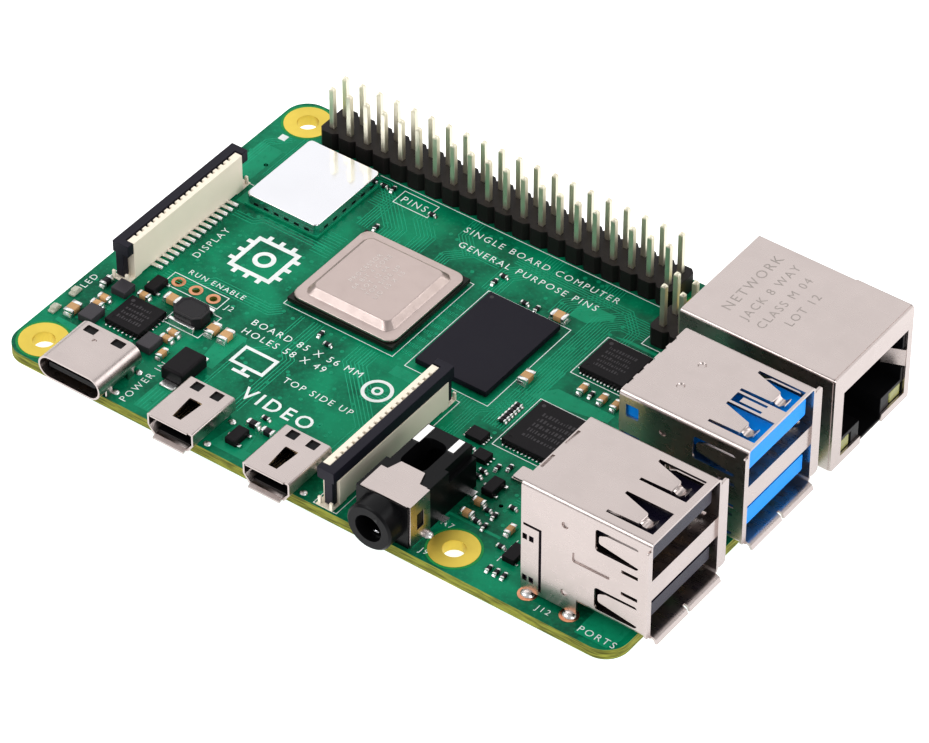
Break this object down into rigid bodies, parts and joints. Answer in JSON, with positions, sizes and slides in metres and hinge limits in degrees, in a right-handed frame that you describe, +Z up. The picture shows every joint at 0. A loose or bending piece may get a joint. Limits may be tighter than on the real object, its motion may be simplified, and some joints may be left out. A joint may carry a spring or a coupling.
{
  "type": "single board computer",
  "caption": "Small green circuit board with rounded corners, processor, memory and shielded radio module, pin header, flat cable connectors and edge sockets.",
  "frame": {"origin": "centre of the four mounting holes, on the underside of the board", "axes": "+X along the board towards the stacked ports, +Y across it towards the long pin header, +Z up through the mounting holes"},
  "size_m": [0.0886, 0.058, 0.0189],
  "materials": {
    "solder_mask": "green solder mask over copper, satin gloss",
    "gold_plate": "plated copper, satin",
    "header_plastic": "moulded black nylon, satin",
    "gold_pin": "thin gold plating, bright",
    "solder": "bright solder",
    "package_laminate": "dark green laminate",
    "nickel_lid": "satin nickel",
    "silicon": "polished silicon",
    "chip_mould": "moulded black epoxy",
    "polished_can": "mirror-bright tinned can",
    "ferrite": "dark grey ferrite",
    "ceramic": "tan ceramic",
    "resistor_film": "black resistor film",
    "lamp_lens": "tinted clear plastic",
    "shell_steel": "satin tinned steel",
    "black_plastic": "moulded black plastic",
    "blue_plastic": "moulded bright blue plastic",
    "contact_gold": "gold-plated spring contacts",
    "cream_plastic": "moulded cream plastic",
    "latch_plastic": "moulded charcoal plastic"
  },
  "bodies": {
    "board": {"circuit_board": "solder_mask", "plated_pads": "gold_plate", "gpio_header_base": "header_plastic", "gpio_header_pins": "gold_pin", "power_header_base": "header_plastic", "power_header_pins": "gold_pin", "solder_balls": "solder", "processor_substrate": "package_laminate", "processor_lid": "nickel_lid", "processor_die": "silicon", "memory_package": "chip_mould", "wireless_base": "package_laminate", "wireless_shield": "polished_can", "wireless_chip": "chip_mould", "power_manager_chip": "chip_mould", "port_controller_chip": "chip_mould", "network_chip": "chip_mould", "logic_chips": "chip_mould", "chip_leads": "solder", "transistor_bodies": "chip_mould", "power_inductor": "ferrite", "surge_diode": "chip_mould", "power_terminals": "solder", "small_inductors": "ferrite", "capacitor_bodies": "ceramic", "capacitor_terminals": "solder", "resistor_bodies": "resistor_film", "resistor_terminals": "solder", "indicator_lights": "lamp_lens", "clock_crystal": "nickel_lid", "power_socket_shell": "shell_steel", "power_socket_tongue": "black_plastic", "power_socket_contacts": "contact_gold", "video_socket_1_shell": "shell_steel", "video_socket_1_insert": "black_plastic", "video_socket_2_shell": "shell_steel", "video_socket_2_insert": "black_plastic", "video_socket_contacts": "contact_gold", "audio_jack_body": "black_plastic", "audio_jack_shield": "shell_steel", "audio_jack_contacts": "solder", "display_connector_housing": "cream_plastic", "display_connector_contacts": "contact_gold", "camera_connector_housing": "cream_plastic", "camera_connector_contacts": "contact_gold", "dual_port_a_shell": "shell_steel", "dual_port_a_insert": "black_plastic", "dual_port_a_contacts": "contact_gold", "dual_port_b_shell": "shell_steel", "dual_port_b_insert": "blue_plastic", "dual_port_b_contacts": "contact_gold", "network_jack_shell": "shell_steel", "network_jack_body": "black_plastic", "network_jack_contacts": "contact_gold", "network_light_pipes": "lamp_lens", "card_socket_shell": "shell_steel", "card_socket_base": "black_plastic", "card_socket_contacts": "contact_gold"},
    "display_latch": {"display_connector_latch": "latch_plastic"},
    "camera_latch": {"camera_connector_latch": "latch_plastic"}
  },
  "joints": [
    {"name": "display_latch_slide", "type": "slide", "parent": "board", "child": "display_latch", "axis": [0, 0, 1], "range_m": [0, 0.0012]},
    {"name": "camera_latch_slide", "type": "slide", "parent": "board", "child": "camera_latch", "axis": [0, 0, 1], "range_m": [0, 0.0012]}
  ]
}
